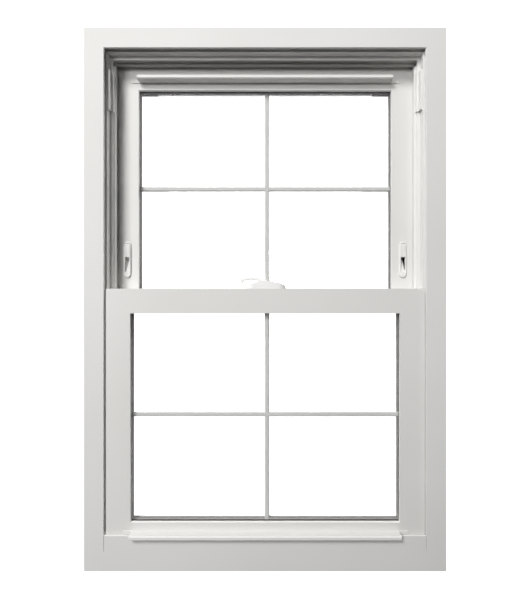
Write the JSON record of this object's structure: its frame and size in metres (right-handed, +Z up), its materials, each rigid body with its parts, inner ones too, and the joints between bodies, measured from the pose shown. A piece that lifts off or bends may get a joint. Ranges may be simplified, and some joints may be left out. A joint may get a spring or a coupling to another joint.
{
  "type": "double-hung sash window",
  "caption": "Double-hung window in white extruded frame, with two sliding sashes, sealed units with crossing bars, lift rails, vent latches and a cam lock.",
  "frame": {"origin": "middle of the flat base of the sill, halfway between the room face and the outdoor face of the frame", "axes": "+Z up along the height, +Y from the room outdoors through the depth, +X along the width, to the right as seen from the room"},
  "size_m": [0.6096, 0.0929, 0.9144],
  "materials": {
    "frame_vinyl": "satin",
    "sash_vinyl": "satin",
    "pane": "polished",
    "spacer_bar": "satin",
    "grille_bar": "satin",
    "moulded_fitting": "satin",
    "cast_fitting": "satin",
    "bright_steel": "zinc plated",
    "tube_vinyl": "satin",
    "seal_rubber": "matt"
  },
  "bodies": {
    "frame": {"frame_head": "frame_vinyl", "frame_sill": "frame_vinyl", "frame_jamb_left": "frame_vinyl", "frame_jamb_right": "frame_vinyl", "sash_stop_left": "moulded_fitting", "sash_stop_right": "moulded_fitting", "lower_balance_tube_left": "tube_vinyl", "lower_balance_tube_right": "tube_vinyl", "upper_balance_tube_left": "tube_vinyl", "upper_balance_tube_right": "tube_vinyl", "balance_screws": "bright_steel"},
    "upper_sash": {"upper_check_rail": "sash_vinyl", "upper_top_rail": "sash_vinyl", "upper_stile_left": "sash_vinyl", "upper_stile_right": "sash_vinyl", "upper_inner_pane": "pane", "upper_outer_pane": "pane", "upper_spacer": "spacer_bar", "upper_grille": "grille_bar", "upper_glazing_beads": "sash_vinyl", "upper_lift_rail": "sash_vinyl", "upper_balance_rod_left": "bright_steel", "upper_balance_rod_right": "bright_steel", "upper_balance_bracket_left": "moulded_fitting", "upper_balance_bracket_right": "moulded_fitting", "lock_keeper": "cast_fitting", "keeper_screws": "bright_steel", "vent_latch_housing_left": "moulded_fitting", "vent_latch_housing_right": "moulded_fitting"},
    "lower_sash": {"lower_check_rail": "sash_vinyl", "lower_bottom_rail": "sash_vinyl", "lower_stile_left": "sash_vinyl", "lower_stile_right": "sash_vinyl", "lower_inner_pane": "pane", "lower_outer_pane": "pane", "lower_spacer": "spacer_bar", "lower_grille": "grille_bar", "lower_glazing_beads": "sash_vinyl", "lower_lift_rail": "sash_vinyl", "lower_balance_rod_left": "bright_steel", "lower_balance_rod_right": "bright_steel", "lower_balance_bracket_left": "moulded_fitting", "lower_balance_bracket_right": "moulded_fitting", "sill_seal": "seal_rubber", "lock_base": "cast_fitting", "lock_screws": "bright_steel"},
    "vent_tab_left": {"vent_latch_tab_left": "moulded_fitting"},
    "vent_tab_right": {"vent_latch_tab_right": "moulded_fitting"},
    "lock_lever": {"lock_lever": "cast_fitting"}
  },
  "joints": [
    {"name": "upper_sash_slide", "type": "slide", "parent": "frame", "child": "upper_sash", "axis": [0, 0, 1], "range_m": [-0.345, 0]},
    {"name": "lower_sash_slide", "type": "slide", "parent": "frame", "child": "lower_sash", "axis": [0, 0, 1], "range_m": [0, 0.307]},
    {"name": "vent_latch_left_swing", "type": "hinge", "parent": "upper_sash", "child": "vent_tab_left", "pos_m": [-0.248, -0.0012, 0.5547], "axis": [-1, 0, 0], "range_deg": [0, 12]},
    {"name": "vent_latch_right_swing", "type": "hinge", "parent": "upper_sash", "child": "vent_tab_right", "pos_m": [0.248, -0.0012, 0.5547], "axis": [-1, 0, 0], "range_deg": [0, 12]},
    {"name": "lock_lever_turn", "type": "hinge", "parent": "lower_sash", "child": "lock_lever", "pos_m": [0.0014, -0.0133, 0.482], "axis": [0, 0, 1], "range_deg": [0, 180]}
  ]
}
